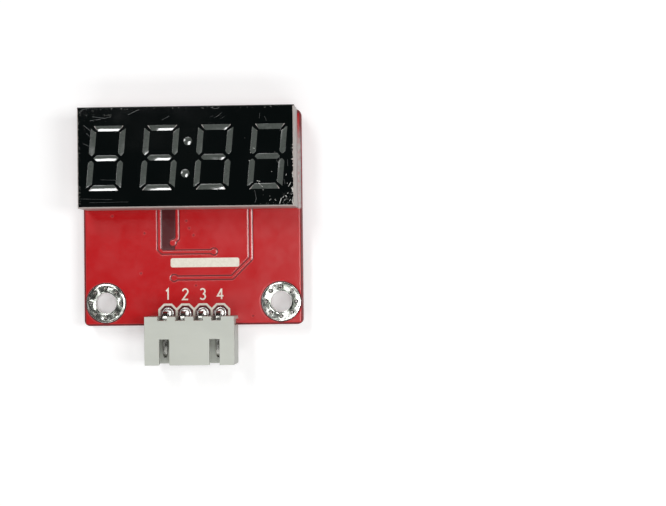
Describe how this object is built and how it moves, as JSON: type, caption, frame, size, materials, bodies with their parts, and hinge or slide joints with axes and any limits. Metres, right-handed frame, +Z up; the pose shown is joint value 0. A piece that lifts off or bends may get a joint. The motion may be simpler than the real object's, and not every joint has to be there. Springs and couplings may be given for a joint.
{
  "type": "seven segment display module",
  "caption": "Red circuit board with a slanted seven segment clock display, a white side entry header, two plated fixing holes and a driver chip underneath.",
  "frame": {"origin": "midway between the two fixing holes, on the board's underside", "axes": "+Z up out of the display's face, +X to the right as the digits are read, +Y towards the display's top edge"},
  "size_m": [0.0312, 0.0359, 0.0113],
  "materials": {
    "board_laminate": "red solder mask over glass-fibre laminate, semi gloss",
    "tinned_land": "wavy hot-air levelled tin",
    "tinned_pad": "tinned copper",
    "display_shell": "glossy black face, pale grey side walls",
    "segment_resin": "unlit olive-grey diffusing resin, clear gloss",
    "sealing_resin": "cast epoxy, milky",
    "led_laminate": "thin laminate",
    "led_die": "semiconductor die",
    "tinned_pin": "bright tin",
    "solder": "bright solder",
    "header_nylon": "off-white nylon, satin",
    "chip_epoxy": "black moulding compound, matt",
    "tinned_lead": "matt tin",
    "resistor_body": "black glaze on white alumina",
    "capacitor_body": "brown fired ceramic"
  },
  "bodies": {
    "root": {"circuit_board": "board_laminate", "fixing_land_left": "tinned_land", "fixing_land_right": "tinned_land", "header_pads": "tinned_pad", "display_pads": "tinned_pad", "display_housing": "display_shell", "segment_resin": "segment_resin", "sealing_resin": "sealing_resin", "led_board": "led_laminate", "led_dice": "led_die", "display_pins": "tinned_pin", "display_pin_solder": "solder", "header_housing": "header_nylon", "header_pins": "tinned_pin", "header_pin_solder": "solder", "driver_chip_body": "chip_epoxy", "driver_chip_leads": "tinned_lead", "chip_solder_pads": "solder", "small_part_solder_pads": "solder", "resistor_bodies": "resistor_body", "resistor_caps": "tinned_lead", "capacitor_bodies": "capacitor_body", "capacitor_caps": "tinned_lead"}
  },
  "joints": []
}
